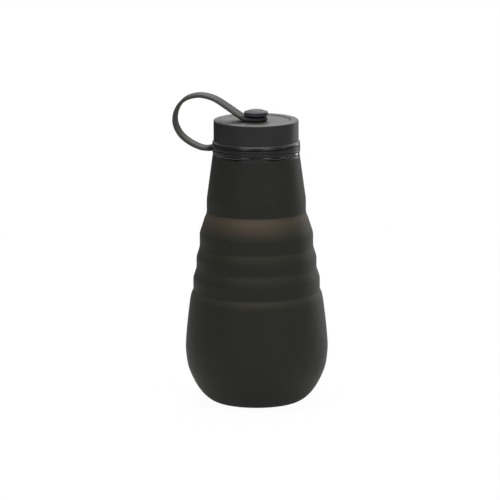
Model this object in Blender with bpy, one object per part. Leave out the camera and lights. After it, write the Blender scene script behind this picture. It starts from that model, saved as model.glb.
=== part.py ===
"""A collapsible drink bottle, standing at its full height with its cap screwed on.

A soft silicone body folds down into its own bowl in four steps. A rigid collar in its neck
carries the mouth's thread. The screw cap holds a flat seal, and a carrying strap runs from
a ring round the neck, in a loop, to an eyelet that a stud holds on the cap.

Sizes are in millimetres and become metres in the meshes. The bottle stands on z = 0, its
axis is +Z, and the strap's loop points to -X.
"""

import math

import bmesh
import bpy
from mathutils import Vector

MM = 0.001

# Fineness and fit
SEGMENTS = 48
STUD_SEGMENTS = 32
ROUTE_STEPS = 12
SHARP_ANGLE = 35.0
GAP = 0.3

# Silicone bowl
FOOT_RADIUS = 24.5
WIDEST_RADIUS = 47.5
WIDEST_HEIGHT = 37.7
BOWL_FULLNESS_ABOVE = 1.81
BOWL_FULLNESS_BELOW = 1.88
BOWL_STEPS = 9
BOWL_RIM_HEIGHT = 50.4
FLOOR_THICKNESS = 2.4
SILICONE_WALL = 1.8

# Rolling wall above the bowl
ROLL_WALL_HEIGHT = 26.0
ROLL_WALL_STEPS = 3
ROLL_WALL = 1.5
SHOULDER_RADIUS = 44.3
SHOULDER_DROP = 6.4
SHOULDER_ROUND_DEPTH = 0.35
FLANK_CURVE = 1.4

# Fold rings and the thin webs between them
LOWER_RING_RADIUS = 42.25
LOWER_RING_HEIGHT = 7.8
MIDDLE_RING_HEIGHT = 6.5
UPPER_RING_HEIGHT = 9.0
NEST_CLEARANCE = 0.4
LOWER_WEB_HEIGHT = 7.4
MIDDLE_WEB_HEIGHT = 7.1
NECK_WEB_HEIGHT = 14.1
WEB_WALL = 1.2

# Silicone neck
NECK_RADIUS = 33.05
NECK_BAND_HEIGHT = 8.8
NECK_CONE_HEIGHT = 30.2
LIP_RADIUS = 28.95
LIP_EDGE = 0.5

# Screw cap
CAP_RADIUS = 28.3
CAP_HEIGHT = 16.3
CAP_WALL = 1.7
CAP_ROOF = 2.1
CAP_EDGE = 1.0
CAP_RECESS_RADIUS = 23.6
CAP_RECESS_DEPTH = 0.8
CAP_BEAD = 0.9
CAP_BEAD_HEIGHT = 2.4
CAP_STANDOFF = 0.5

# Thread between the cap and the collar
THREAD_PITCH = 4.0
THREAD_TURNS = 1.25
THREAD_DEPTH = 0.9
THREAD_BASE = 1.9
THREAD_CREST = 0.9
THREAD_ROOT = 0.5
THREAD_CLEARANCE = 0.4
THREAD_START = 3.3
THREAD_STEPS = 32
THREAD_FADE_STEPS = 4

# Neck collar
COLLAR_WALL = 1.7
SEAT_STEP = 1.3
RETAINER_STEP = 0.7
RETAINER_HEIGHT = 1.0
FLANGE_STEP = 2.4
FLANGE_HEIGHT = 2.1
SKIRT_LENGTH = 11.0
SKIRT_WALL = 1.9

# Cap seal
SEAL_THICKNESS = 1.4
SEAL_WIDTH = 3.9

# Strap
STRAP_WIDTH = 12.4
STRAP_THICKNESS = 2.3
STRAP_EDGE = 0.5
STRAP_STEP = 2.5
STRAP_RING_WALL = 2.45
STRAP_RING_HEIGHT = 3.7
STRAP_RIDGES = 2
STRAP_GROOVE = 0.5
STRAP_GROOVE_SPREAD = 0.7
STRAP_ROOT_THICKNESS = 3.5
STRAP_ROOT_LENGTH = 5.0
STRAP_ROOT_DEPTH = 1.5
STRAP_ROOT_DROP = 0.1
STRAP_LOOP_WIDTH = 25.05
EYELET_RADIUS = 7.6
EYELET_THICKNESS = 2.3
EYELET_TONGUE = 6.0
EYELET_FLARE_LENGTH = 40.0
EYELET_TONGUE_INSET = 2.1

# Strap stud
STUD_HEAD_RADIUS = 8.0
STUD_HEAD_HEIGHT = 3.3
STUD_CROWN_RADIUS = 5.8
STUD_RIM_HEIGHT = 2.25
STUD_UNDERCUT = 0.8
STUD_STEM_RADIUS = 3.7
STUD_BARB = 1.2
STUD_BARB_HEIGHT = 1.9

# Route of the strap's loop. Outside the cap a point is a share of the loop's reach and of
# the climb from the ring to the eyelet. Over the cap it is a share of the way inwards.
LOOP_OUTSIDE_RATIOS = (
    (0.10, -0.05),
    (0.32, -0.02),
    (0.64, 0.18),
    (0.88, 0.47),
    (1.00, 0.87),
    (0.94, 1.30),
    (0.72, 1.64),
    (0.35, 1.78),
)
LOOP_OVER_CAP_RATIOS = (
    (0.04, 1.68),
    (0.40, 1.42),
    (0.74, 1.135),
    (0.90, 1.025),
)

# Heights, from the table up
lower_ring_bottom = BOWL_RIM_HEIGHT + ROLL_WALL_HEIGHT
lower_ring_top = lower_ring_bottom + LOWER_RING_HEIGHT
middle_ring_bottom = lower_ring_top + LOWER_WEB_HEIGHT
middle_ring_top = middle_ring_bottom + MIDDLE_RING_HEIGHT
upper_ring_bottom = middle_ring_top + MIDDLE_WEB_HEIGHT
upper_ring_top = upper_ring_bottom + UPPER_RING_HEIGHT
neck_bottom = upper_ring_top + NECK_WEB_HEIGHT
cone_bottom = neck_bottom + NECK_BAND_HEIGHT
lip_height = cone_bottom + NECK_CONE_HEIGHT
flange_bottom = lip_height + GAP
flange_top = flange_bottom + FLANGE_HEIGHT
strap_ring_bottom = flange_top + GAP
strap_ring_top = strap_ring_bottom + STRAP_RING_HEIGHT
retainer_bottom = strap_ring_top + GAP
retainer_top = retainer_bottom + RETAINER_HEIGHT
cap_bottom = strap_ring_top + CAP_STANDOFF
cap_top = cap_bottom + CAP_HEIGHT
recess_floor = cap_top - CAP_RECESS_DEPTH
roof_underside = recess_floor - CAP_ROOF
seal_top = roof_underside - GAP
seal_bottom = seal_top - SEAL_THICKNESS
mouth_height = seal_bottom - GAP
eyelet_bottom = recess_floor + GAP
eyelet_top = eyelet_bottom + EYELET_THICKNESS
shoulder_height = lower_ring_bottom - SHOULDER_DROP

# Radii, from the cap inwards and from the lower ring inwards
cap_inside = CAP_RADIUS - CAP_WALL
spigot_radius = cap_inside - THREAD_DEPTH - THREAD_CLEARANCE
mouth_radius = spigot_radius - COLLAR_WALL
seat_radius = spigot_radius + SEAT_STEP
retainer_radius = seat_radius + RETAINER_STEP
flange_radius = seat_radius + FLANGE_STEP
strap_ring_inside = seat_radius + GAP
strap_ring_radius = strap_ring_inside + STRAP_RING_WALL
stem_hole_radius = STUD_STEM_RADIUS + GAP
ring_step = SILICONE_WALL + NEST_CLEARANCE
middle_ring_radius = LOWER_RING_RADIUS - ring_step
upper_ring_radius = middle_ring_radius - ring_step


def clear_scene():
    for thing in list(bpy.data.objects):
        bpy.data.objects.remove(thing, do_unlink=True)


def make_material(name, colour, roughness):
    material = bpy.data.materials.new(name)
    material.use_nodes = True
    shader = material.node_tree.nodes["Principled BSDF"]
    shader.inputs["Base Color"].default_value = (*colour, 1.0)
    shader.inputs["Roughness"].default_value = roughness
    shader.inputs["Metallic"].default_value = 0.0
    material.diffuse_color = (*colour, 1.0)
    return material


def joint_empty(name, height, parent=None):
    """An empty on the bottle's axis, at the height where the pieces above it move."""
    empty = bpy.data.objects.new(name, None)
    bpy.context.collection.objects.link(empty)
    empty.parent = parent
    parent_height = parent["height"] if parent else 0.0
    empty["height"] = height
    empty.location.z = (height - parent_height) * MM
    return empty


def add_piece(name, mesh_builder, material, parent, guide=False):
    """Turns a bmesh into a named object, whose mesh is measured from its parent empty."""
    bmesh.ops.remove_doubles(mesh_builder, verts=mesh_builder.verts, dist=1e-7)
    bmesh.ops.recalc_face_normals(mesh_builder, faces=mesh_builder.faces)
    bmesh.ops.translate(mesh_builder, verts=mesh_builder.verts, vec=(0, 0, -parent["height"] * MM))
    mesh = bpy.data.meshes.new(name)
    mesh_builder.to_mesh(mesh)
    mesh_builder.free()
    mesh.materials.append(material)
    mesh.shade_smooth()
    mesh.set_sharp_from_angle(angle=math.radians(SHARP_ANGLE))
    piece = bpy.data.objects.new(name, mesh)
    bpy.context.collection.objects.link(piece)
    piece.parent = parent
    if guide:
        piece.hide_render = True
        piece.display_type = "WIRE"
    return piece


def join_guide(piece, guide):
    union = piece.modifiers.new("join_" + guide.name, "BOOLEAN")
    union.operation = "UNION"
    union.solver = "EXACT"
    union.object = guide


def turned(profile, segments=SEGMENTS):
    """Spins a closed outline of (radius, height) points round the bottle's axis."""
    builder = bmesh.new()
    corners = [builder.verts.new((r * MM, 0, z * MM)) for r, z in profile]
    edges = []
    for start, end in zip(corners, corners[1:] + corners[:1]):
        if start.co.x > 0 or end.co.x > 0:
            edges.append(builder.edges.new((start, end)))
    bmesh.ops.spin(
        builder,
        geom=corners + edges,
        cent=(0, 0, 0),
        axis=(0, 0, 1),
        angle=math.tau,
        steps=segments,
        use_merge=True,
    )
    return builder


def swept(stations):
    """Skins a row of closed sections, each a list of points, and caps both ends."""
    builder = bmesh.new()
    rings = [[builder.verts.new(Vector(p) * MM) for p in section] for section in stations]
    for lower, upper in zip(rings, rings[1:]):
        for k, corner in enumerate(lower):
            following = (k + 1) % len(lower)
            builder.faces.new((corner, lower[following], upper[following], upper[k]))
    builder.faces.new(rings[0])
    builder.faces.new(rings[-1])
    return builder


def offset_inward(outline, wall):
    """Moves an outline that runs upwards towards the axis by the wall, square to itself."""
    inner = []
    for k, (radius, height) in enumerate(outline):
        before = outline[max(k - 1, 0)]
        after = outline[min(k + 1, len(outline) - 1)]
        along = Vector((after[0] - before[0], after[1] - before[1])).normalized()
        inner.append((radius - along.y * wall, height + along.x * wall))
    return inner


def bowl_radius(height):
    """Outer radius of the bowl and of the flank above it, up to the shoulder."""
    if height < WIDEST_HEIGHT:
        depth = 1 - height / WIDEST_HEIGHT
        fullness = (1 - depth**BOWL_FULLNESS_ABOVE) ** (1 / BOWL_FULLNESS_BELOW)
        return FOOT_RADIUS + (WIDEST_RADIUS - FOOT_RADIUS) * fullness
    climb = (height - WIDEST_HEIGHT) / (shoulder_height - WIDEST_HEIGHT)
    return WIDEST_RADIUS - (WIDEST_RADIUS - SHOULDER_RADIUS) * climb**FLANK_CURVE


def make_bowl(material, parent):
    rim = BOWL_RIM_HEIGHT - GAP / 2
    heights = [WIDEST_HEIGHT * (k / BOWL_STEPS) ** 2 for k in range(BOWL_STEPS + 1)]
    heights += [(WIDEST_HEIGHT + rim) / 2, rim]
    outer = [(bowl_radius(height), height) for height in heights]
    inner = [point for point in offset_inward(outer, SILICONE_WALL) if point[1] > FLOOR_THICKNESS]
    inner[-1] = (outer[-1][0] - SILICONE_WALL, rim)
    profile = [(0, 0)] + outer + inner[::-1]
    profile += [(inner[0][0] - SILICONE_WALL, FLOOR_THICKNESS), (0, FLOOR_THICKNESS)]
    return add_piece("pot", turned(profile), material, parent)


def make_roll_wall(material, parent):
    bottom = BOWL_RIM_HEIGHT + GAP / 2
    top = lower_ring_bottom - GAP / 2
    bulge_height = (shoulder_height + top) / 2
    bulge_radius = (SHOULDER_RADIUS + LOWER_RING_RADIUS) / 2 + SHOULDER_ROUND_DEPTH
    rise = (shoulder_height - bottom) / ROLL_WALL_STEPS
    heights = [bottom + rise * k for k in range(ROLL_WALL_STEPS + 1)]
    outer = [(bowl_radius(height), height) for height in heights]
    outer += [(bulge_radius, bulge_height), (LOWER_RING_RADIUS, top)]
    inner = [(radius - ROLL_WALL, height) for radius, height in outer]
    return add_piece("pot_roll_wall", turned(outer + inner[::-1]), material, parent)


def make_fold_ring(name, radius, bottom, top, material, parent):
    low = bottom + GAP / 2
    high = top - GAP / 2
    inside = radius - SILICONE_WALL
    profile = [(radius, high), (radius, low), (inside, low), (inside, high)]
    return add_piece(name, turned(profile), material, parent)


def make_fold_web(name, lower_radius, upper_radius, bottom, top, material, parent):
    """A cone between two folds, cut level at both ends."""
    low = bottom + GAP / 2
    high = top - GAP / 2
    slant = math.hypot(lower_radius - upper_radius, top - bottom)
    wall = WEB_WALL * slant / (top - bottom)
    profile = [(upper_radius, high), (lower_radius, low)]
    profile += [(lower_radius - wall, low), (upper_radius - wall, high)]
    return add_piece(name, turned(profile), material, parent)


def neck_radius(height):
    """Outer radius of the silicone neck's cone."""
    climb = (height - cone_bottom) / NECK_CONE_HEIGHT
    return NECK_RADIUS + (LIP_RADIUS - NECK_RADIUS) * max(climb, 0)


def make_neck_sleeve(material, parent):
    bottom = neck_bottom + GAP / 2
    outer = [(NECK_RADIUS, bottom), (NECK_RADIUS, cone_bottom)]
    outer += [(LIP_RADIUS, lip_height - LIP_EDGE), (LIP_RADIUS - LIP_EDGE, lip_height)]
    inner = [(NECK_RADIUS - SILICONE_WALL, bottom), (NECK_RADIUS - SILICONE_WALL, cone_bottom)]
    inner += [(LIP_RADIUS - SILICONE_WALL, lip_height)]
    return add_piece("neck_sleeve", turned(outer + inner[::-1]), material, parent)


def thread_ridge(name, root_radius, crest_radius, start_height, start_angle, material, parent):
    """A screw ridge of one start that climbs anticlockwise and thins out at both ends."""
    inwards = math.copysign(THREAD_ROOT, crest_radius - root_radius)
    count = round(THREAD_STEPS * THREAD_TURNS)
    stations = []
    for k in range(count + 1):
        turns = THREAD_TURNS * k / count
        angle = start_angle + math.tau * turns
        middle = start_height + THREAD_PITCH * turns
        fade = min(1, (min(k, count - k) + 1) / THREAD_FADE_STEPS)
        reach = root_radius + (crest_radius - root_radius) * fade
        base = THREAD_BASE / 2
        crest = THREAD_CREST / 2 * fade
        section = [
            (root_radius - inwards, middle - base),
            (root_radius - inwards, middle + base),
            (root_radius, middle + base),
            (reach, middle + crest),
            (reach, middle - crest),
            (root_radius, middle - base),
        ]
        stations.append([(r * math.cos(angle), r * math.sin(angle), z) for r, z in section])
    return add_piece(name, swept(stations), material, parent, guide=True)


def make_neck_collar(material, parent):
    """Mouth spigot, strap seat, flange on the silicone lip and a skirt inside the neck."""
    skirt_bottom = lip_height - SKIRT_LENGTH
    sleeve_inside = SILICONE_WALL + GAP
    skirt_low = neck_radius(skirt_bottom) - sleeve_inside
    skirt_high = LIP_RADIUS - sleeve_inside
    edge = GAP
    profile = [
        (mouth_radius + edge, mouth_height),
        (spigot_radius - edge, mouth_height),
        (spigot_radius, mouth_height - edge),
        (spigot_radius, retainer_top + edge),
        (retainer_radius, retainer_top - edge),
        (retainer_radius, retainer_bottom),
        (seat_radius, retainer_bottom),
        (seat_radius, flange_top),
        (flange_radius - edge, flange_top),
        (flange_radius, flange_top - edge),
        (flange_radius, flange_bottom + edge),
        (flange_radius - edge, flange_bottom),
        (skirt_high, flange_bottom),
        (skirt_low, skirt_bottom),
        (skirt_low - SKIRT_WALL, skirt_bottom),
        (mouth_radius, flange_top),
        (mouth_radius, mouth_height - edge),
    ]
    collar = add_piece("neck_collar", turned(profile), material, parent)
    crest = spigot_radius + THREAD_DEPTH
    start = cap_bottom + THREAD_START
    join_guide(collar, thread_ridge("collar_thread", spigot_radius, crest, start, 0, material, parent))
    return collar


def make_cap_shell(material, parent):
    bead_radius = CAP_RADIUS + CAP_BEAD
    bead_top = cap_bottom + CAP_BEAD_HEIGHT
    bead_edge = CAP_BEAD / 3
    counterbore = retainer_radius + GAP
    counterbore_top = retainer_top + 2 * GAP
    edge_middle = CAP_EDGE * (1 - math.sqrt(0.5))
    profile = [
        (stem_hole_radius, recess_floor),
        (CAP_RECESS_RADIUS, recess_floor),
        (CAP_RECESS_RADIUS + GAP, cap_top),
        (CAP_RADIUS - CAP_EDGE, cap_top),
        (CAP_RADIUS - edge_middle, cap_top - edge_middle),
        (CAP_RADIUS, cap_top - CAP_EDGE),
        (CAP_RADIUS, bead_top),
        (bead_radius, bead_top - bead_edge),
        (bead_radius, cap_bottom + bead_edge),
        (bead_radius - bead_edge, cap_bottom),
        (counterbore, cap_bottom),
        (counterbore, counterbore_top),
        (cap_inside, counterbore_top + counterbore - cap_inside),
        (cap_inside, roof_underside),
        (stem_hole_radius, roof_underside),
    ]
    shell = add_piece("cap_shell", turned(profile), material, parent)
    crest = cap_inside - THREAD_DEPTH
    start = cap_bottom + THREAD_START
    join_guide(shell, thread_ridge("cap_thread", cap_inside, crest, start, -math.pi, material, parent))
    return shell


def make_cap_seal(material, parent):
    outside = cap_inside - GAP
    inside = outside - SEAL_WIDTH
    profile = [(outside, seal_top), (outside, seal_bottom), (inside, seal_bottom), (inside, seal_top)]
    return add_piece("cap_seal", turned(profile), material, parent)


def make_strap_stud(material, parent):
    underside = eyelet_top + GAP
    rim_bottom = underside + STUD_UNDERCUT
    head_top = rim_bottom + STUD_HEAD_HEIGHT
    rim_edge = STUD_HEAD_RADIUS - GAP
    barb_radius = STUD_STEM_RADIUS + STUD_BARB
    barb_top = roof_underside - GAP
    profile = [
        (0, head_top),
        (STUD_CROWN_RADIUS, head_top),
        (rim_edge, rim_bottom + STUD_RIM_HEIGHT + GAP),
        (STUD_HEAD_RADIUS, rim_bottom + STUD_RIM_HEIGHT),
        (STUD_HEAD_RADIUS, rim_bottom + GAP),
        (rim_edge, rim_bottom),
        (STUD_STEM_RADIUS + STUD_BARB, underside),
        (STUD_STEM_RADIUS, underside),
        (STUD_STEM_RADIUS, barb_top),
        (barb_radius, barb_top - GAP),
        (STUD_STEM_RADIUS - GAP, barb_top - STUD_BARB_HEIGHT),
        (0, barb_top - STUD_BARB_HEIGHT),
    ]
    return add_piece("strap_stud", turned(profile, STUD_SEGMENTS), material, parent)


def smooth_route(points, steps):
    """Points on a smooth curve through the given ones (Catmull-Rom)."""
    ends = [points[0] * 2 - points[1]] + points + [points[-1] * 2 - points[-2]]
    route = []
    for a, b, c, d in zip(ends, ends[1:], ends[2:], ends[3:]):
        for k in range(steps):
            t = k / steps
            bend = (2 * a - 5 * b + 4 * c - d) * t**2 + (3 * b - a - 3 * c + d) * t**3
            route.append((2 * b + (c - a) * t + bend) / 2)
    return route + [points[-1]]


def strap_route():
    """The strap's middle line in the XZ plane, from inside its ring to inside its eyelet."""
    root_height = (strap_ring_bottom + strap_ring_top) / 2 - STRAP_ROOT_DROP
    root = Vector((-strap_ring_radius, root_height))
    eyelet = Vector((EYELET_TONGUE_INSET - EYELET_RADIUS, (eyelet_bottom + eyelet_top) / 2))
    climb = eyelet.y - root.y
    inwards = eyelet.x - root.x
    points = [root + Vector((STRAP_ROOT_DEPTH, 0))]
    points += [root + Vector((-STRAP_LOOP_WIDTH * out, climb * up)) for out, up in LOOP_OUTSIDE_RATIOS]
    points += [root + Vector((inwards * over, climb * up)) for over, up in LOOP_OVER_CAP_RATIOS]
    return smooth_route(points + [eyelet], ROUTE_STEPS)


def route_lengths(route):
    lengths = [0.0]
    for before, after in zip(route, route[1:]):
        lengths.append(lengths[-1] + (after - before).length)
    return lengths


def point_along(route, lengths, distance):
    k = 1
    while k < len(lengths) - 1 and lengths[k] < distance:
        k += 1
    share = (distance - lengths[k - 1]) / (lengths[k] - lengths[k - 1])
    return route[k - 1].lerp(route[k], share)


def half_width(ahead):
    """Half the strap's width at a distance before its end, where it widens to its eyelet."""
    near = max(0, 1 - ahead / EYELET_FLARE_LENGTH)
    widening = near * near * (3 - 2 * near)
    return STRAP_WIDTH / 2 + (EYELET_RADIUS - STRAP_WIDTH / 2) * widening


def strap_band(start, end, start_thickness=STRAP_THICKNESS):
    """A stretch of the strap: a flat band with broken edges, square to its route."""
    route = strap_route()
    lengths = route_lengths(route)
    count = max(2, round((end - start) / STRAP_STEP))
    stations = []
    for k in range(count + 1):
        distance = start + (end - start) * k / count
        middle = point_along(route, lengths, distance)
        ahead = point_along(route, lengths, min(distance + GAP, lengths[-1]))
        behind = point_along(route, lengths, max(distance - GAP, 0))
        along = (ahead - behind).normalized()
        across = Vector((-along.y, along.x))
        half = (start_thickness + (STRAP_THICKNESS - start_thickness) * k / count) / 2
        side = half_width(lengths[-1] - distance)
        outline = [
            (side, half - STRAP_EDGE),
            (side - STRAP_EDGE, half),
            (STRAP_EDGE - side, half),
            (-side, half - STRAP_EDGE),
            (-side, STRAP_EDGE - half),
            (STRAP_EDGE - side, -half),
            (side - STRAP_EDGE, -half),
            (side, STRAP_EDGE - half),
        ]
        section = [middle + across * lift for y, lift in outline]
        stations.append([(p.x, y, p.y) for p, (y, lift) in zip(section, outline)])
    return swept(stations)


def make_strap_ring(material, parent):
    """A ridged band round the neck, with the root that the loop grows from."""
    ridge = STRAP_RING_HEIGHT / STRAP_RIDGES
    profile = [(strap_ring_inside, strap_ring_top)]
    for k in range(STRAP_RIDGES):
        high = strap_ring_top - k * ridge
        shoulder = STRAP_GROOVE_SPREAD / 2
        profile += [(strap_ring_radius - STRAP_GROOVE, high)]
        profile += [(strap_ring_radius, high - shoulder), (strap_ring_radius, high - ridge + shoulder)]
    profile += [(strap_ring_radius - STRAP_GROOVE, strap_ring_bottom)]
    profile += [(strap_ring_inside, strap_ring_bottom)]
    ring = add_piece("strap_ring", turned(profile), material, parent)
    root = strap_band(0, STRAP_ROOT_DEPTH + STRAP_ROOT_LENGTH, STRAP_ROOT_THICKNESS)
    join_guide(ring, add_piece("strap_root", root, material, parent, guide=True))
    return ring


def make_strap_eyelet(material, parent):
    profile = [
        (EYELET_RADIUS - STRAP_EDGE, eyelet_top),
        (EYELET_RADIUS, eyelet_top - STRAP_EDGE),
        (EYELET_RADIUS, eyelet_bottom + STRAP_EDGE),
        (EYELET_RADIUS - STRAP_EDGE, eyelet_bottom),
        (stem_hole_radius, eyelet_bottom),
        (stem_hole_radius, eyelet_top),
    ]
    eyelet = add_piece("strap_eyelet", turned(profile, STUD_SEGMENTS), material, parent)
    total = route_lengths(strap_route())[-1]
    tongue = strap_band(total - EYELET_TONGUE, total)
    join_guide(eyelet, add_piece("eyelet_tongue", tongue, material, parent, guide=True))
    return eyelet


def make_strap_loop(material, parent):
    total = route_lengths(strap_route())[-1]
    start = STRAP_ROOT_DEPTH + STRAP_ROOT_LENGTH + GAP
    end = total - EYELET_TONGUE - GAP
    return add_piece("strap_loop", strap_band(start, end), material, parent)


def build():
    clear_scene()
    silicone = make_material("charcoal_silicone", (0.024, 0.024, 0.022), 0.62)
    thin_silicone = make_material("thin_charcoal_silicone", (0.055, 0.047, 0.038), 0.6)
    cap_plastic = make_material("matt_cap_plastic", (0.027, 0.027, 0.028), 0.5)
    collar_plastic = make_material("gloss_collar_plastic", (0.02, 0.021, 0.021), 0.22)
    strap_rubber = make_material("strap_silicone", (0.06, 0.058, 0.054), 0.58)
    seal_rubber = make_material("seal_silicone", (0.2, 0.2, 0.19), 0.6)

    bowl = joint_empty("bowl_on_table", 0)
    lower_ring = joint_empty("pot_fold_axis", lower_ring_bottom, bowl)
    middle_ring = joint_empty("lower_ring_fold_axis", middle_ring_bottom, lower_ring)
    upper_ring = joint_empty("middle_ring_fold_axis", upper_ring_bottom, middle_ring)
    neck = joint_empty("neck_fold_axis", neck_bottom, upper_ring)
    strap_end = joint_empty("cap_lift_axis", strap_ring_top, neck)
    cap = joint_empty("cap_turn_axis", cap_bottom, strap_end)

    make_bowl(silicone, bowl)
    make_roll_wall(thin_silicone, bowl)
    make_fold_ring(
        "lower_fold_ring", LOWER_RING_RADIUS, lower_ring_bottom, lower_ring_top, silicone, lower_ring
    )
    make_fold_web(
        "lower_fold_web",
        LOWER_RING_RADIUS,
        middle_ring_radius,
        lower_ring_top,
        middle_ring_bottom,
        thin_silicone,
        lower_ring,
    )
    make_fold_ring(
        "middle_fold_ring",
        middle_ring_radius,
        middle_ring_bottom,
        middle_ring_top,
        silicone,
        middle_ring,
    )
    make_fold_web(
        "middle_fold_web",
        middle_ring_radius,
        upper_ring_radius,
        middle_ring_top,
        upper_ring_bottom,
        thin_silicone,
        middle_ring,
    )
    make_fold_ring(
        "upper_fold_ring", upper_ring_radius, upper_ring_bottom, upper_ring_top, silicone, upper_ring
    )
    make_fold_web(
        "neck_fold_web",
        upper_ring_radius,
        NECK_RADIUS,
        upper_ring_top,
        neck_bottom,
        thin_silicone,
        upper_ring,
    )
    make_neck_sleeve(silicone, neck)
    make_neck_collar(collar_plastic, neck)
    make_strap_ring(strap_rubber, neck)
    make_strap_loop(strap_rubber, strap_end)
    make_strap_eyelet(strap_rubber, strap_end)
    make_cap_shell(cap_plastic, cap)
    make_cap_seal(seal_rubber, cap)
    make_strap_stud(cap_plastic, cap)


build()
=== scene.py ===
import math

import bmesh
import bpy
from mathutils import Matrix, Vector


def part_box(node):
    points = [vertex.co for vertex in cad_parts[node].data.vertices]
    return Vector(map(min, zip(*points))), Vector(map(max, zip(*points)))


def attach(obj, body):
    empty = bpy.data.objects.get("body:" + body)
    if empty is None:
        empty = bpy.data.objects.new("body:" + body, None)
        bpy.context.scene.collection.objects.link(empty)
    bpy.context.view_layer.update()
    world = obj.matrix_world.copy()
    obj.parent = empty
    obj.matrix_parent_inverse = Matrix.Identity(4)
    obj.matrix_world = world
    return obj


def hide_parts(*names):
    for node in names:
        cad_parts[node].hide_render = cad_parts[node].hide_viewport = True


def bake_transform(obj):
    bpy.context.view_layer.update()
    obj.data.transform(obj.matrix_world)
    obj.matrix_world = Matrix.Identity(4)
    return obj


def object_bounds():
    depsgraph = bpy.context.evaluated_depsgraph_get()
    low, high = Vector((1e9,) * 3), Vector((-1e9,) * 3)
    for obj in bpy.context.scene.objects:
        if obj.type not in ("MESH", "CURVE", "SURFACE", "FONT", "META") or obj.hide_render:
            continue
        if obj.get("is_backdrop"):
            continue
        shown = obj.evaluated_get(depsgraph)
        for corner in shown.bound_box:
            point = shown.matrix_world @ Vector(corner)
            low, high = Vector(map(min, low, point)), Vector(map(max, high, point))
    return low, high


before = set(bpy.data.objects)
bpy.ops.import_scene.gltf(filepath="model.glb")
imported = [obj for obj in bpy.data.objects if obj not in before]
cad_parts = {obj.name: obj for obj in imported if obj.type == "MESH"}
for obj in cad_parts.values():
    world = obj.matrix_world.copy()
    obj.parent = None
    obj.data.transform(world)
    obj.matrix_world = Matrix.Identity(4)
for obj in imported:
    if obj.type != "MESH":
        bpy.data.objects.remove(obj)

# %% [markdown]
# A collapsible drink bottle
#
# This script dresses a imported model of a soft bottle that folds down into its own bowl. The
# real one has six pieces: a silicone body in one moulding, a rigid collar in its neck, a screw
# cap, a seal in the cap, a silicone carrying strap and the stud that holds the strap to the cap.
# The imported model fixes every size and every joint. Here each piece gets its true edges, its
# soft creases and its finish, and all but the webs and the strap's loop ride on the body that
# moves them.

MM = 0.001
packed_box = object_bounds()

# %% [markdown]
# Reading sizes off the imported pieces
#
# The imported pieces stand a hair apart, so that they can move. Half of that play is added back
# at each fold line, which gives the level where two stretches of the one moulding meet.

# %% Levels and radii
PLAY = 0.3 * MM


def levels(node):
    """Lowest and highest level of a stretch of the moulding, with half the play added back."""
    low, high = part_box(node)
    return low.z - PLAY / 2, high.z + PLAY / 2


def radius_of(node):
    """Largest radius of a node that is round about the bottle's axis."""
    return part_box(node)[1].y


rim_level = levels("pot")[1]
lower_ring_low, lower_ring_high = levels("lower_fold_ring")
middle_ring_low, middle_ring_high = levels("middle_fold_ring")
upper_ring_low, upper_ring_high = levels("upper_fold_ring")
neck_low = levels("neck_sleeve")[0]
lip_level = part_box("neck_sleeve")[1].z
print("fold lines in mm:", [round(z / MM, 1) for z in (rim_level, lower_ring_low, neck_low)])

# %% [markdown]
# Node maths that reads like maths
#
# Geometry nodes and shader nodes are wired socket by socket, which is hard to read. A small
# class wraps one output socket, so that adding two wires adds a Math node. A second class adds
# any other node: its kind, then its options, then the values or wires of its sockets.

# %% Wires and graphs


class Wire:
    """One output socket. Arithmetic on it adds Math nodes to its graph."""

    def __init__(self, graph, socket):
        self.graph = graph
        self.socket = socket

    def __add__(self, other):
        return self.graph.maths("ADD", self, other)

    def __sub__(self, other):
        return self.graph.maths("SUBTRACT", self, other)

    def __rsub__(self, other):
        return self.graph.maths("SUBTRACT", other, self)

    def __mul__(self, other):
        return self.graph.maths("MULTIPLY", self, other)

    def __truediv__(self, other):
        return self.graph.maths("DIVIDE", self, other)

    __radd__ = __add__
    __rmul__ = __mul__


class Graph:
    """Adds nodes to one tree."""

    def __init__(self, tree):
        self.tree = tree

    def node(self, kind, options=None, sockets=None):
        made = self.tree.nodes.new(kind)
        for name, value in (options or {}).items():
            setattr(made, name, value)
        for key, value in (sockets or {}).items():
            if isinstance(value, Wire):
                self.tree.links.new(value.socket, made.inputs[key])
            else:
                made.inputs[key].default_value = value
        return made

    def wire(self, kind, options=None, sockets=None, output=0):
        return Wire(self, self.node(kind, options, sockets).outputs[output])

    def maths(self, operation, *values):
        return self.wire("ShaderNodeMath", {"operation": operation}, dict(enumerate(values)))

    def limit(self, value, low, high):
        """How far value is from low to high, held between 0 and 1."""
        options = {"interpolation_type": "SMOOTHSTEP"}
        return self.wire("ShaderNodeMapRange", options, {0: value, 1: low, 2: high, 3: 0.0, 4: 1.0})

    def split(self, vector):
        made = self.node("ShaderNodeSeparateXYZ", None, {0: vector})
        return [Wire(self, output) for output in made.outputs]

    def vector(self, x, y, z):
        return self.wire("ShaderNodeCombineXYZ", None, {0: x, 1: y, 2: z})

    def mix(self, share, first, second):
        """A colour between two colours."""
        options = {"data_type": "RGBA"}
        return self.wire("ShaderNodeMix", options, {0: share, 6: first, 7: second}, 2)


def new_tree(name, inputs):
    """An empty geometry tree with named inputs, and the wires that bring them in."""
    tree = bpy.data.node_groups.new(name, "GeometryNodeTree")
    for label, kind in inputs.items():
        tree.interface.new_socket(name=label, in_out="INPUT", socket_type="NodeSocket" + kind)
    tree.interface.new_socket(name="Piece", in_out="OUTPUT", socket_type="NodeSocketGeometry")
    graph = Graph(tree)
    brought = graph.node("NodeGroupInput")
    return graph, {label: Wire(graph, brought.outputs[label]) for label in inputs}


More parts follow.
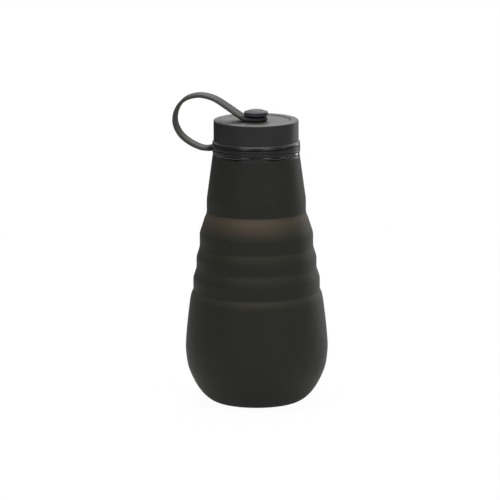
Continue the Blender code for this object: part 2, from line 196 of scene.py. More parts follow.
def end_tree(graph, geometry, finish):
    """Every tree ends alike: smooth shading, real geometry and a material."""
    smooth = graph.wire("GeometryNodeSetShadeSmooth", None, {"Geometry": geometry})
    real = graph.wire("GeometryNodeRealizeInstances", None, {"Geometry": smooth})
    done = graph.wire("GeometryNodeSetMaterial", None, {"Geometry": real, "Material": finish})
    graph.node("NodeGroupOutput", None, {0: done})
    return graph.tree


# %% [markdown]
# Finishes
#
# The silicone is a charcoal rubber with the dull grain of a blasted mould. Seen flat on it is
# nearly black, and it lightens where light grazes it. The webs between the fold rings are thin
# enough to glow brown where light comes through; that glow is painted light, mixed into their
# colour further down. The cap is matt moulded plastic with a finer grain, its stud is satin and
# the collar is polished. Grain comes from a Bump node, and cloudy noise varies the roughness,
# because no moulding is even all over. Some edges catch the light more than the faces beside
# them, as if rubbed smooth: a mesh may carry a value named worn for each corner, and the finish
# takes that share of WEAR off its roughness.

# %% Finish helper
WEAR = 0.26
CLOUD_SIZE = 22 * MM
CLOUD_TINT = 0.12
CLOUD_ROUGHNESS = 0.12
SPECKLE_TINT = 0.10
SPECKLE_ROUGHNESS = 0.04
RUBBER_AND_PLASTIC_IOR = 1.45
BLACK = (0.0, 0.0, 0.0, 1.0)


def shader_of(material):
    return material.node_tree.nodes["Principled BSDF"]


def make_finish(name, colour, roughness, grain, grain_depth, specular=0.5):
    """A moulded surface: one colour, cloudy roughness and a fine grain of the given size."""
    material = bpy.data.materials.new(name)
    material.use_nodes = True
    graph = Graph(material.node_tree)
    shader = shader_of(material)
    place = graph.wire("ShaderNodeTexCoord", None, None, "Object")
    clouds = graph.wire(
        "ShaderNodeTexNoise", None, {"Vector": place, "Scale": 1 / CLOUD_SIZE, "Detail": 4.0}
    )
    speckle = graph.wire(
        "ShaderNodeTexNoise", None, {"Vector": place, "Scale": 1 / grain, "Detail": 2.0}
    )
    shade = (clouds - 0.5) * CLOUD_TINT + (speckle - 0.5) * SPECKLE_TINT + 1.0
    double = (*(c * 2.0 for c in colour), 1.0)
    tint = graph.mix(shade * 0.5, BLACK, double)
    worn = graph.wire("ShaderNodeAttribute", {"attribute_name": "worn"}, None, "Fac")
    cloudy = (clouds - 0.5) * CLOUD_ROUGHNESS
    speckled = (speckle - 0.5) * SPECKLE_ROUGHNESS
    rough = roughness + cloudy + speckled - worn * WEAR
    bump = graph.wire(
        "ShaderNodeBump", None, {"Strength": 1.0, "Distance": grain_depth, "Height": speckle}
    )
    material.node_tree.links.new(tint.socket, shader.inputs["Base Color"])
    material.node_tree.links.new(rough.socket, shader.inputs["Roughness"])
    material.node_tree.links.new(bump.socket, shader.inputs["Normal"])
    shader.inputs["Specular IOR Level"].default_value = specular
    shader.inputs["IOR"].default_value = RUBBER_AND_PLASTIC_IOR
    material.diffuse_color = (*colour, 1.0)
    return material


CHARCOAL = (0.0102, 0.0105, 0.0078)
silicone = make_finish("charcoal_silicone", CHARCOAL, 0.6, 0.32 * MM, 0.008 * MM, 0.25)
cap_plastic = make_finish("matt_cap_plastic", (0.0045, 0.0045, 0.0047), 0.52, 0.22 * MM, 0.003 * MM, 0.54)
stud_plastic = make_finish("satin_stud_plastic", (0.034, 0.0365, 0.0415), 0.4, 0.2 * MM, 0.003 * MM, 0.12)
collar_plastic = make_finish("polished_collar_plastic", (0.012, 0.0125, 0.0125), 0.09, 0.6 * MM, 0.0, 0.7)
strap_rubber = make_finish("strap_silicone", (0.0088, 0.0088, 0.0073), 0.42, 0.3 * MM, 0.002 * MM, 0.32)
seal_rubber = make_finish("seal_silicone", (0.2, 0.2, 0.19), 0.55, 0.3 * MM, 0.01 * MM)

# %% [markdown]
# Painted light on thin silicone
#
# The thin webs glow brown where light comes through them, most of all right under the neck, and
# the strap looks paler where light falls on it, most of all along its edges. No light is traced
# through the silicone here: both are painted light, colours that are painted on. A mesh carries
# a value named glow for each corner, and the finish mixes the painted colour in by that value. A
# value on the mesh stays put when a web turns inside out, which a height read in the shader
# wouldn't.

# %% Finishes with painted light
WEB_PAINTED_GLOW = (0.055, 0.0412, 0.0250)
STRAP_PAINTED_LIGHT = (0.100, 0.097, 0.090)
PAINTED_STRAP_SPECULAR = 0.06


def with_painted_light(finish, name, painted_colour):
    """A copy of a finish that turns to a painted light colour where the mesh's glow value is 1."""
    material = finish.copy()
    material.name = name
    graph = Graph(material.node_tree)
    shader = shader_of(material)
    plain = Wire(graph, shader.inputs["Base Color"].links[0].from_socket)
    glow = graph.wire("ShaderNodeAttribute", {"attribute_name": "glow"}, None, "Fac")
    tint = graph.mix(glow, plain, (*painted_colour, 1.0))
    material.node_tree.links.new(tint.socket, shader.inputs["Base Color"])
    return material


web_silicone = with_painted_light(silicone, "thin_charcoal_silicone", WEB_PAINTED_GLOW)
painted_light_strap = with_painted_light(strap_rubber, "painted_light_strap_silicone", STRAP_PAINTED_LIGHT)
# The strap's paleness is painted light, so its own specular is kept low.
shader_of(painted_light_strap).inputs["Specular IOR Level"].default_value = PAINTED_STRAP_SPECULAR

# %% [markdown]
# A lathe made of nodes
#
# Nearly every piece of a bottle is turned: one outline, spun round the axis. Blender's Screw
# modifier could do it. A node tree does it here, because its inputs have names and the same
# tree serves every piece. It lays a flat grid, reads the outline's corner that belongs to each
# row and wraps the grid's columns round the axis. Merging closes the seam and the poles.

# %% Lathe tree
FACETS = 192
MERGE = 0.001 * MM
SHARP_ANGLE = math.radians(40)


def lathe_tree():
    graph, given = new_tree("lathe", {"Outline": "Geometry", "Facets": "Int", "Finish": "Material"})
    count = graph.wire("GeometryNodeAttributeDomainSize", None, {"Geometry": given["Outline"]})
    columns = given["Facets"] + 1
    sizes = {"Size X": 1.0, "Size Y": 1.0, "Vertices X": columns, "Vertices Y": count}
    sheet = graph.wire("GeometryNodeMeshGrid", None, sizes)
    place = graph.wire("GeometryNodeInputPosition")
    across, along, _ = graph.split(place)
    row = graph.maths("ROUND", (along + 0.5) * (count - 1))
    corner = graph.wire(
        "GeometryNodeSampleIndex",
        {"data_type": "FLOAT_VECTOR"},
        {"Geometry": given["Outline"], "Value": place, "Index": row},
    )
    radius, _, height = graph.split(corner)
    angle = (across + 0.5) * math.tau
    wrapped = graph.vector(
        graph.maths("COSINE", angle) * radius, graph.maths("SINE", angle) * radius, height
    )
    spun = graph.wire("GeometryNodeSetPosition", None, {"Geometry": sheet, "Position": wrapped})
    closed = graph.wire("GeometryNodeMergeByDistance", None, {"Geometry": spun, "Distance": MERGE})
    return end_tree(graph, closed, given["Finish"])


def chain_mesh(name, points):
    """A row of corners joined by edges."""
    mesh = bpy.data.meshes.new(name)
    mesh.from_pydata(points, [(k, k + 1) for k in range(len(points) - 1)], [])
    return mesh


def run_tree(name, tree, mesh, values):
    """Runs a tree on a mesh and keeps what comes out as a plain mesh object."""
    carrier = bpy.data.objects.new(name + "_carrier", mesh)
    bpy.context.collection.objects.link(carrier)
    modifier = carrier.modifiers.new("nodes", "NODES")
    modifier.node_group = tree
    for item in tree.interface.items_tree:
        if item.in_out == "INPUT" and item.name in values:
            modifier[item.identifier] = values[item.name]
    depsgraph = bpy.context.evaluated_depsgraph_get()
    made = bpy.data.meshes.new_from_object(carrier.evaluated_get(depsgraph))
    bpy.data.objects.remove(carrier)
    made.name = name
    piece = bpy.data.objects.new(name, made)
    bpy.context.collection.objects.link(piece)
    face_outwards(made)
    return piece


def face_outwards(mesh):
    builder = bmesh.new()
    builder.from_mesh(mesh)
    bmesh.ops.recalc_face_normals(builder, faces=builder.faces)
    builder.to_mesh(mesh)
    builder.free()
    mesh.shade_smooth()
    mesh.set_sharp_from_angle(angle=SHARP_ANGLE)


def write_values(mesh, name, rule):
    """Writes one value on every corner of a mesh: what the rule makes of that corner."""
    attribute = mesh.attributes.new(name, "FLOAT", "POINT")
    attribute.data.foreach_set("value", [rule(corner) for corner in mesh.vertices])


lathe = lathe_tree()


def turn(name, outline, finish, facets=FACETS):
    """Spins a closed outline of (radius, height) corners round the axis."""
    points = [(r, 0, z) for r, z in outline]
    points.append(points[0])
    values = {"Facets": facets, "Finish": finish}
    piece = run_tree(name, lathe, chain_mesh(name, points), values)
    print(name, "has", len(piece.data.polygons), "faces")
    return piece


# %% [markdown]
# Rounded corners
#
# Nothing moulded has a knife edge. An outline is written as its few true corners, each with the
# radius of its rounding, and this helper puts the arcs in.

# %% Rounding
ARC_STEP = math.radians(5)


def rounded(corners, closed=False):
    """Points of an outline whose corners (radius, height, rounding) have become arcs."""
    points = []
    last = len(corners) - 1
    for k, (r, z, rounding) in enumerate(corners):
        here = Vector((r, z))
        if rounding == 0 or (not closed and k in (0, last)):
            points.append(here)
            continue
        back = (Vector(corners[k - 1][:2]) - here).normalized()
        ahead = (Vector(corners[(k + 1) % len(corners)][:2]) - here).normalized()
        turning = math.pi - back.angle(ahead)
        centre = here + (back + ahead).normalized() * rounding / math.cos(turning / 2)
        start = here + back * rounding * math.tan(turning / 2)
        way = math.copysign(1, -back.x * ahead.y + back.y * ahead.x)
        count = max(3, math.ceil(turning / ARC_STEP))
        count += 1 - count % 2
        for step in range(count + 1):
            spoke = Matrix.Rotation(way * turning * step / count, 2) @ (start - centre)
            points.append(centre + spoke)
    return points


# %% [markdown]
# The silicone body's outline
#
# The body is one moulding, so it gets one outline from the foot to the lip. The bowl is a full
# curve that rises from a flat foot and is widest low down. Above its shoulder come three upright
# rings with sloping webs between them. Each corner has its own rounding. The belly is a little
# fuller below its widest line, and the neck's crease a little lower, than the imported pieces
# have them, because the photograph's outline is.

# %% Outer outline
FOOT_RADIUS = 24.5 * MM
WIDEST_HEIGHT = 37.7 * MM
FULLNESS_ABOVE = 1.81
FULLNESS_BELOW = 1.88
BELLY_SWELL = 0.33 * MM
BELLY_HEIGHT = 24 * MM
BELLY_REACH = 5.5 * MM
SHOULDER_RADIUS = 44.3 * MM
SHOULDER_DROP = 6.4 * MM
SHOULDER_SWELL = 0.35 * MM
FLANK_CURVE = 1.4
FLANK_END = 3 * MM
SOFT = 9 * MM
CREASE = 8 * MM
NECK_CREASE = 9 * MM
NECK_DROP = 0.7 * MM
LOWEST_CREASE = 3 * MM
LOW_CREASE = 0.7 * MM
NECK_BAND = 8.8 * MM
LIP_RADIUS = 28.95 * MM
WEB_SWELL = 0.45 * MM
WEB_SWELL_DROP = 2.7 * MM
LIP_ROUNDING = 1.0 * MM
BOWL_ROWS = 44
FLANK_ROWS = 26

widest_radius = radius_of("pot")
shoulder_level = lower_ring_low - SHOULDER_DROP
lower_radius = radius_of("lower_fold_ring")
middle_radius = radius_of("middle_fold_ring")
upper_radius = radius_of("upper_fold_ring")
neck_radius = radius_of("neck_sleeve")


def bowl_radius(height):
    if height < WIDEST_HEIGHT:
        depth = 1 - height / WIDEST_HEIGHT
        fullness = (1 - depth**FULLNESS_ABOVE) ** (1 / FULLNESS_BELOW)
        swell = BELLY_SWELL * math.exp(-(((height - BELLY_HEIGHT) / BELLY_REACH) ** 2))
        return FOOT_RADIUS + (widest_radius - FOOT_RADIUS) * fullness + swell
    climb = (height - WIDEST_HEIGHT) / (shoulder_level - WIDEST_HEIGHT)
    return widest_radius - (widest_radius - SHOULDER_RADIUS) * climb**FLANK_CURVE


def body_outline():
    heights = [WIDEST_HEIGHT * (k / BOWL_ROWS) ** 2 for k in range(BOWL_ROWS)]
    flank = shoulder_level - FLANK_END - WIDEST_HEIGHT
    heights += [WIDEST_HEIGHT + flank * k / FLANK_ROWS for k in range(FLANK_ROWS + 1)]
    curve = [Vector((bowl_radius(z), z)) for z in heights]
    swell_radius = (SHOULDER_RADIUS + lower_radius) / 2 + SHOULDER_SWELL
    web_climb = (upper_radius - neck_radius) / (neck_low - upper_ring_high)
    web_radius = neck_radius + web_climb * WEB_SWELL_DROP + WEB_SWELL
    corners = [
        (*curve[-1], 0),
        (SHOULDER_RADIUS, shoulder_level, SOFT),
        (swell_radius, (shoulder_level + lower_ring_low) / 2, SOFT),
        (lower_radius, lower_ring_low, LOWEST_CREASE),
        (lower_radius, lower_ring_high, SOFT),
        (middle_radius, middle_ring_low - LOW_CREASE, CREASE),
        (middle_radius, middle_ring_high, SOFT),
        (upper_radius, upper_ring_low, CREASE),
        (upper_radius, upper_ring_high, SOFT),
        (web_radius, neck_low - NECK_DROP - WEB_SWELL_DROP, SOFT),
        (neck_radius, neck_low - NECK_DROP, NECK_CREASE),
        (neck_radius, neck_low + NECK_BAND, 2 * SOFT),
        (LIP_RADIUS, lip_level, LIP_ROUNDING),
        (LIP_RADIUS - 2 * LIP_ROUNDING, lip_level, 0),
    ]
    return curve[:-1] + rounded(corners)


# %% [markdown]
# One skin, cut at its fold lines
#
# Folding moves each stretch of the body by a different amount, so the skin is cut where it
# folds. Both sides of a cut share the same corners and lie in one straight step of the outline,
# so their shading matches and no seam shows. The inner wall follows the outer one at the wall's
# thickness, which thins out in the webs.

# %% Walls and cuts
WALL = 1.8 * MM
ROLL_WALL = 1.5 * MM
WEB_WALL = 1.2 * MM
FLOOR = 2.4 * MM
EASE = 1.2 * MM
ROW = 0.7 * MM

thin_stretches = (
    (rim_level, lower_ring_low, ROLL_WALL),
    (lower_ring_high, middle_ring_low, WEB_WALL),
    (middle_ring_high, upper_ring_low, WEB_WALL),
    (upper_ring_high, neck_low, WEB_WALL),
)


def smooth_step(value, low, high):
    t = min(max((value - low) / (high - low), 0), 1)
    return t * t * (3 - 2 * t)


def wall_at(height):
    wall = WALL
    for low, high, thin in thin_stretches:
        inside = smooth_step(height, low - EASE, low + EASE)
        inside -= smooth_step(height, high - EASE, high + EASE)
        wall -= (WALL - thin) * inside
    return wall


def with_rows(points, cuts):
    """Adds corners at the cuts, and between corners that are further apart than a row."""
    filled = [points[0]]
    for before, after in zip(points, points[1:]):
        shares = [(z - before.y) / (after.y - before.y) for z in cuts if before.y < z < after.y]
        count = math.ceil((after - before).length / ROW)
        shares += [k / count for k in range(1, count)]
        filled += [before.lerp(after, share) for share in sorted(shares)]
        filled.append(after)
    return filled


fold_lines = [rim_level, lower_ring_low, lower_ring_high, middle_ring_low, middle_ring_high]
fold_lines += [upper_ring_low, upper_ring_high, neck_low]
outer = with_rows(body_outline(), fold_lines)
inner = []
for k, point in enumerate(outer):
    way = (outer[min(k + 1, len(outer) - 1)] - outer[max(k - 1, 0)]).normalized()
    inner.append(point + Vector((-way.y, way.x)) * wall_at(point.y))
print("the body's outline has", len(outer), "corners")


def stretch(low, high):
    """A closed outline of the wall between two levels."""
    chosen = [k for k, point in enumerate(outer) if low - MERGE <= point.y <= high + MERGE]
    return [outer[k] for k in chosen] + [inner[k] for k in reversed(chosen)]


# %% [markdown]
# The sagging fold line
#
# The photograph shows the lowest fold line drooping a little at the front. The ring above the
# line and the wall below it get the same droop, so they still meet.

# %% Sag
SAG = 1.2 * MM
SAG_ABOVE = 6 * MM
SAG_BELOW = 9 * MM
FRONT_AZIMUTH = math.radians(6)
front = Vector((math.sin(FRONT_AZIMUTH), -math.cos(FRONT_AZIMUTH), 0))


def sag_front(mesh):
    """Lowers the corners near the lowest fold line, most of all at the front."""
    for corner in mesh.vertices:
        facing = max(0, corner.co.dot(front) / corner.co.xy.length)
        z = corner.co.z
        share = smooth_step(z, lower_ring_low - SAG_BELOW, lower_ring_low)
        share -= smooth_step(z, lower_ring_low, lower_ring_low + SAG_ABOVE)
        corner.co.z -= SAG * share * facing**2


# %% [markdown]
# The bowl and the fold rings
#
# These stretches keep their shape, so each one rides on its own body.

# %% Stiff stretches of the body


def dress(piece, body, slot, *nodes):
    """Gives a finished piece its body and hides the imported nodes that it stands for. The slot is not used.
    """
    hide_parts(*nodes)
    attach(piece, body)


def bowl_outline():
    walls = stretch(0, rim_level)
    half = len(walls) // 2
    inside = [point for point in walls[half:] if point.y > FLOOR]
    corner = Vector((inside[-1].x - WALL, FLOOR))
    return [Vector((0, 0))] + walls[:half] + inside + [corner, Vector((0, FLOOR))]


dress(turn("bowl", bowl_outline(), silicone), "bowl", "silicone_body", "pot")
rings = (
    ("lower_ring", "lower_fold_ring", lower_ring_low, lower_ring_high),
    ("middle_ring", "middle_fold_ring", middle_ring_low, middle_ring_high),
    ("upper_ring", "upper_fold_ring", upper_ring_low, upper_ring_high),
)
for body, node, low, high in rings:
    ring = turn(node + "_skin", stretch(low, high), silicone)
    if body == "lower_ring":
        sag_front(ring.data)
    dress(ring, body, "silicone_body", node)


def neck_outline():
    walls = stretch(neck_low, lip_level)
    return [point for point in walls if point.y <= lip_level]


# Painted glow: the neck's lowest millimetre gets the webs' brown painted light, strongest in front.
NECK_GLOW = 1.0 * MM
BACK_GLOW = 0.5
LIP_WEAR = 1.8
LIP_WEAR_REACH = 1.6 * MM


def front_share(corner):
    """How strongly the painted glow shows at a corner: fully at the front, and half as much from the sides
    back.
    """
    facing = max(0, corner.co.dot(front) / corner.co.xy.length)
    return BACK_GLOW + (1 - BACK_GLOW) * facing**4


def neck_glow(corner):
    return front_share(corner) * smooth_step(neck_low + NECK_GLOW - corner.co.z, 0, NECK_GLOW)


def lip_wear(corner):
    return LIP_WEAR * smooth_step(corner.co.z, lip_level - LIP_WEAR_REACH, lip_level)


neck_skin = turn("neck_skin", neck_outline(), web_silicone)
write_values(neck_skin.data, "worn", lip_wear)
write_values(neck_skin.data, "glow", neck_glow)
dress(neck_skin, "neck", "silicone_body", "neck_sleeve")

# %% [markdown]
# The rolling wall and the webs
#
# On the real bottle these stretches turn inside out when it folds. Here each is built where it
# stands at rest and rides on no body. A row of the table gives a piece, its node, the bodies
# below and above, the levels of both, how strongly the piece glows, and the share of its height
# at which the glow starts.

# %% Stretches that fold
GLOW_EDGE = 1.0 * MM
GLOW_FULL = 0.95

webs = (
    ("rolling_wall", "pot_roll_wall", "bowl", "lower_ring", rim_level, lower_ring_low, 0.25, 0.7),
    (
        "lower_web", "lower_fold_web", "lower_ring", "middle_ring",
        lower_ring_high, middle_ring_low, 0.18, 0.1,
    ),
    (
        "middle_web", "middle_fold_web", "middle_ring", "upper_ring",
        middle_ring_high, upper_ring_low, 0.22, 0.1,
    ),
    ("neck_web", "neck_fold_web", "upper_ring", "neck", upper_ring_high, neck_low, 1.0, -0.1),
)


def store_glow(mesh, low, high, strength, start):
    """Writes how much painted glow each corner of a web gets, growing towards its top."""

    def glow(corner):
        climb = (corner.co.z - low) / (high - low)
        fade = smooth_step(high - corner.co.z, 0, GLOW_EDGE) if strength < 1 else 1
        return strength * smooth_step(climb, start, GLOW_FULL) * fade * front_share(corner)

    write_values(mesh, "glow", glow)


for name, node, below, above, low, high, strength, start in webs:
    web = turn(name, stretch(low, high), web_silicone)
    store_glow(web.data, low, high, strength, start)
    if above == "lower_ring":
        sag_front(web.data)
    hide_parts(node)
    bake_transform(web)

# %% [markdown]
# The collar
#
# A rigid collar sits in the soft neck. Its skirt goes down inside the silicone, a polished
# flange lies on the lip, the strap's ring turns in the seat above it, a small ledge keeps the
# ring there, and the spigot above carries the thread.

# %% Collar
CAP_WALL = 1.7 * MM
THREAD_DEPTH = 0.9 * MM
THREAD_CLEARANCE = 0.4 * MM
COLLAR_WALL = 1.7 * MM
SEAT_STEP = 1.3 * MM
LEDGE_STEP = 0.7 * MM
LEDGE_SINK = 0.2 * MM
LEDGE_HEIGHT = 1.0 * MM
FLANGE_STEP = 2.4 * MM
FLANGE_HEIGHT = 2.1 * MM
SKIRT_WALL = 1.9 * MM
INSIDE_ROUNDING = 8 * MM
CAP_RADIUS = 28.3 * MM

cap_inside = CAP_RADIUS - CAP_WALL
spigot_radius = cap_inside - THREAD_DEPTH - THREAD_CLEARANCE
mouth_radius = spigot_radius - COLLAR_WALL
seat_radius = spigot_radius + SEAT_STEP
ledge_radius = seat_radius + LEDGE_STEP
flange_radius = seat_radius + FLANGE_STEP
skirt_low, mouth_level = (corner.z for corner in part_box("neck_collar"))
ring_low, ring_high = (corner.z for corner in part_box("strap_ring"))
flange_low = lip_level + PLAY
flange_high = flange_low + FLANGE_HEIGHT
ledge_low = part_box("cap_shell")[0].z - LEDGE_SINK
ledge_high = ledge_low + LEDGE_HEIGHT
cone = (neck_radius - LIP_RADIUS) / (lip_level - neck_low - NECK_BAND)
skirt_top_radius = LIP_RADIUS - WALL - PLAY
skirt_low_radius = skirt_top_radius + cone * (lip_level - skirt_low)
collar_corners = (
    (mouth_radius, mouth_level, 0.5 * MM),
    (spigot_radius, mouth_level, 0.6 * MM),
    (spigot_radius, ledge_high, 0.15 * MM),
    (ledge_radius, ledge_high, 0.3 * MM),
    (ledge_radius, ledge_low, 0.2 * MM),
    (seat_radius, ledge_low, 0),
    (seat_radius, flange_high, 0.1 * MM),
    (flange_radius, flange_high, 0.9 * MM),
    (flange_radius, flange_low, 0.7 * MM),
    (skirt_top_radius, flange_low, 0),
    (skirt_low_radius, skirt_low, 0.5 * MM),
    (skirt_low_radius - SKIRT_WALL, skirt_low, 0.6 * MM),
    (mouth_radius, flange_high, INSIDE_ROUNDING),
)
collar = turn("neck_collar_turned", rounded(collar_corners, closed=True), collar_plastic)
dress(collar, "neck", "collar_plastic", "neck_collar")

# %% [markdown]
# Screw threads
#
# A thread is a ridge that follows a helix. The tree bends a line into the helix, thins it out
# at both ends and sweeps a round section along it. The collar's ridge and the cap's lie half a
# pitch apart, so that they bear on each other.

# %% Thread tree
THREAD_PITCH = 4.0 * MM
THREAD_TURNS = 1.25
THREAD_RIDGE = 0.92 * MM
THREAD_START = 3.3 * MM
THREAD_STEPS = 120
THREAD_SIDES = 14
RUN_OUT = 0.12
PAST_END = 0.03


def thread_tree():
    inputs = {
        "Steps": "Int",
        "Radius": "Float",
        "Start height": "Float",
        "Start turn": "Float",
        "Turns": "Float",
        "Pitch": "Float",
        "Ridge": "Float",
        "Finish": "Material",
    }
    graph, given = new_tree("thread", inputs)
    line = graph.wire("GeometryNodeCurvePrimitiveLine")
    points = graph.wire("GeometryNodeResampleCurve", None, {"Curve": line, "Count": given["Steps"]})
    along = graph.wire("GeometryNodeSplineParameter")
    turned = along * given["Turns"]
    angle = (turned + given["Start turn"]) * math.tau
    helix = graph.vector(
        graph.maths("COSINE", angle) * given["Radius"],
        graph.maths("SINE", angle) * given["Radius"],
        turned * given["Pitch"] + given["Start height"],
    )
    bent = graph.wire("GeometryNodeSetPosition", None, {"Geometry": points, "Position": helix})
    ends = graph.maths("MINIMUM", along, 1 - along)
    thin = graph.limit(ends, -PAST_END, RUN_OUT)
    section = graph.wire(
        "GeometryNodeCurvePrimitiveCircle", None, {"Resolution": THREAD_SIDES, "Radius": given["Ridge"]}
    )
    ridge = graph.wire(
        "GeometryNodeCurveToMesh",
        None,
        {"Curve": bent, "Profile Curve": section, "Scale": thin, "Fill Caps": True},
    )
    return end_tree(graph, ridge, given["Finish"])


thread = thread_tree()


def cut_thread(name, radius, start_turn, finish):
    values = {
        "Steps": THREAD_STEPS,
        "Radius": radius,
        "Start height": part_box("cap_shell")[0].z + THREAD_START,
        "Start turn": start_turn,
        "Turns": THREAD_TURNS,
        "Pitch": THREAD_PITCH,
        "Ridge": THREAD_RIDGE,
        "Finish": finish,
    }
    return run_tree(name, thread, bpy.data.meshes.new(name), values)


SUNK = THREAD_RIDGE - THREAD_DEPTH
collar_thread = cut_thread("collar_thread", spigot_radius - SUNK, 0.0, collar_plastic)
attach(collar_thread, "neck")

# %% [markdown]
# The cap and its seal
#
# The cap has a plain side with a rounded bead round its foot, and a shallow recess in its top
# that leaves a thin rim. Its inside carries the second thread ridge, and a flat seal lies under
# the roof and closes on the mouth.

# %% Cap
CAP_EDGE = 0.85 * MM
RECESS_RADIUS = 23.6 * MM
RECESS_DEPTH = 0.8 * MM
RECESS_SLOPE = 1.3 * MM
ROOF = 2.1 * MM
BEAD = 0.95 * MM
BEAD_FLARE = 0.25 * MM
BEAD_HEIGHT = 2.4 * MM
BEAD_CHAMFER = 0.3 * MM
STEM_HOLE = 4.0 * MM
BEAD_WEAR = 0.72
BEAD_WEAR_EDGE = 0.2 * MM

cap_low, cap_high = (corner.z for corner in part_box("cap_shell"))
recess_level = cap_high - RECESS_DEPTH
roof_level = recess_level - ROOF
counterbore = ledge_radius + PLAY
counterbore_top = ledge_high + 2 * PLAY
cap_corners = (
    (STEM_HOLE, recess_level, 0.2 * MM),
    (RECESS_RADIUS - RECESS_SLOPE, recess_level, 0.6 * MM),
    (RECESS_RADIUS, cap_high, 0.5 * MM),
    (CAP_RADIUS, cap_high, CAP_EDGE),
    (CAP_RADIUS, cap_low + BEAD_HEIGHT, 0.15 * MM),
    (CAP_RADIUS + BEAD - BEAD_FLARE, cap_low + BEAD_HEIGHT - BEAD + BEAD_FLARE, 0.35 * MM),
    (CAP_RADIUS + BEAD, cap_low + BEAD_CHAMFER, 0.3 * MM),
    (CAP_RADIUS + BEAD - BEAD_CHAMFER, cap_low, 0.2 * MM),
    (counterbore, cap_low, 0.2 * MM),
    (counterbore, counterbore_top, 0.2 * MM),
    (cap_inside, counterbore_top + counterbore - cap_inside, 0.2 * MM),
    (cap_inside, roof_level, 0.4 * MM),
    (STEM_HOLE, roof_level, 0.2 * MM),
)
bead_top = cap_low + BEAD_HEIGHT


def bead_wear(corner):
    side = smooth_step(corner.co.z, bead_top - BEAD_WEAR_EDGE, bead_top)
    return BEAD_WEAR * (1 - side)


cap = turn("cap_turned", rounded(cap_corners, closed=True), cap_plastic)
write_values(cap.data, "worn", bead_wear)
dress(cap, "cap", "cap_plastic", "cap_shell")
cap_thread = cut_thread("cap_thread", cap_inside + SUNK, 0.5, cap_plastic)
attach(cap_thread, "cap")

# %% Seal
SEAL_WIDTH = 3.9 * MM
SEAL_EDGE = 0.35 * MM
seal_low, seal_high = (corner.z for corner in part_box("cap_seal"))
seal_outside = radius_of("cap_seal")
seal_corners = [
    (radius, height, SEAL_EDGE)
    for radius, height in (
        (seal_outside - SEAL_WIDTH, seal_low),
        (seal_outside, seal_low),
        (seal_outside, seal_high),
        (seal_outside - SEAL_WIDTH, seal_high),
    )
]
seal = turn("seal_turned", rounded(seal_corners, closed=True), seal_rubber)
dress(seal, "cap", "seal_silicone", "cap_seal")

# %% [markdown]
# The strap's ring
#
# The ring is a band with two rounded ridges, one above the other. The ridges follow a rule, so
# the outline is worked out: a row of shallow arches between the ring's foot and its top.

# %% Strap ring
RIDGES = 2
GROOVE = 0.6 * MM
ARCH_STEPS = 14
RING_WEAR = 0.2
ring_radius = radius_of("strap_ring")
ring_inside = seat_radius + PLAY


def ring_outline():
    points = [Vector((ring_inside, ring_low))]
    pitch = (ring_high - ring_low) / RIDGES
    for ridge in range(RIDGES):
        for step in range(ARCH_STEPS + 1):
            place = step / ARCH_STEPS
            arch = math.sqrt(1 - (2 * place - 1) ** 4)
            radius = ring_radius - GROOVE * (1 - arch)
            points.append(Vector((radius, ring_low + pitch * (ridge + place))))
    points.append(Vector((ring_inside, ring_high)))
    return points


strap_ring = turn("strap_ring_turned", ring_outline(), strap_rubber)
write_values(strap_ring.data, "worn", lambda corner: RING_WEAR)
dress(strap_ring, "neck", "strap_silicone", "strap_ring")

# %% [markdown]
# The strap's loop
#
# The loop is a flat band with well rounded edges. Its route lies in one plane, and its points
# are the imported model's: shares of the loop's width and of the climb from ring to eyelet, joined
# by a smooth curve. The tree sweeps a rounded rectangle along the route. The band is thicker
# where it grows from the ring, and wider where it runs into the eyelet.

# %% Strap route
STRAP_WIDTH = 12.4 * MM
STRAP_THICKNESS = 2.3 * MM
STRAP_EDGE = 1.1 * MM
ROOT_DEPTH = 1.5 * MM
ROOT_LENGTH = 5.0 * MM
ROOT_THICKNESS = 3.5 * MM
ROOT_DROP = 0.1 * MM
LOOP_WIDTH = 25.05 * MM
EYELET_RADIUS = 7.6 * MM
TONGUE_INSET = 2.1 * MM
ROUTE_STEPS = 12
EDGE_STEPS = 7
LOOP_OUTSIDE_RATIOS = (
    (0.10, -0.05),
    (0.32, -0.02),
    (0.64, 0.18),
    (0.88, 0.47),
    (1.00, 0.87),
    (0.94, 1.30),
    (0.72, 1.64),
    (0.35, 1.78),
)
LOOP_OVER_CAP_RATIOS = (
    (0.04, 1.68),
    (0.40, 1.42),
    (0.74, 1.135),
    (0.90, 1.025),
)
eyelet_low = recess_level + PLAY
eyelet_high = eyelet_low + STRAP_THICKNESS


def smooth_route(points, steps):
    """Points on a smooth curve through the given ones (Catmull-Rom)."""
    ends = [points[0] * 2 - points[1]] + points + [points[-1] * 2 - points[-2]]
    route = []
    for a, b, c, d in zip(ends, ends[1:], ends[2:], ends[3:]):
        for k in range(steps):
            t = k / steps
            bend = (2 * a - 5 * b + 4 * c - d) * t**2 + (3 * b - a - 3 * c + d) * t**3
            route.append((2 * b + (c - a) * t + bend) / 2)
    return route + [points[-1]]


root_level = (flange_high + PLAY + ring_high) / 2 - ROOT_DROP


def strap_route():
    """The band's middle line in the XZ plane, from inside the ring to inside the eyelet."""
    root = Vector((-ring_radius, root_level))
    eyelet = Vector((TONGUE_INSET - EYELET_RADIUS, (eyelet_low + eyelet_high) / 2))
    climb = eyelet.y - root.y
    inwards = eyelet.x - root.x
    points = [root + Vector((ROOT_DEPTH, 0))]
    points += [root + Vector((-LOOP_WIDTH * out, climb * up)) for out, up in LOOP_OUTSIDE_RATIOS]
    points += [root + Vector((inwards * over, climb * up)) for over, up in LOOP_OVER_CAP_RATIOS]
    return smooth_route(points + [eyelet], ROUTE_STEPS)


# %% Band tree


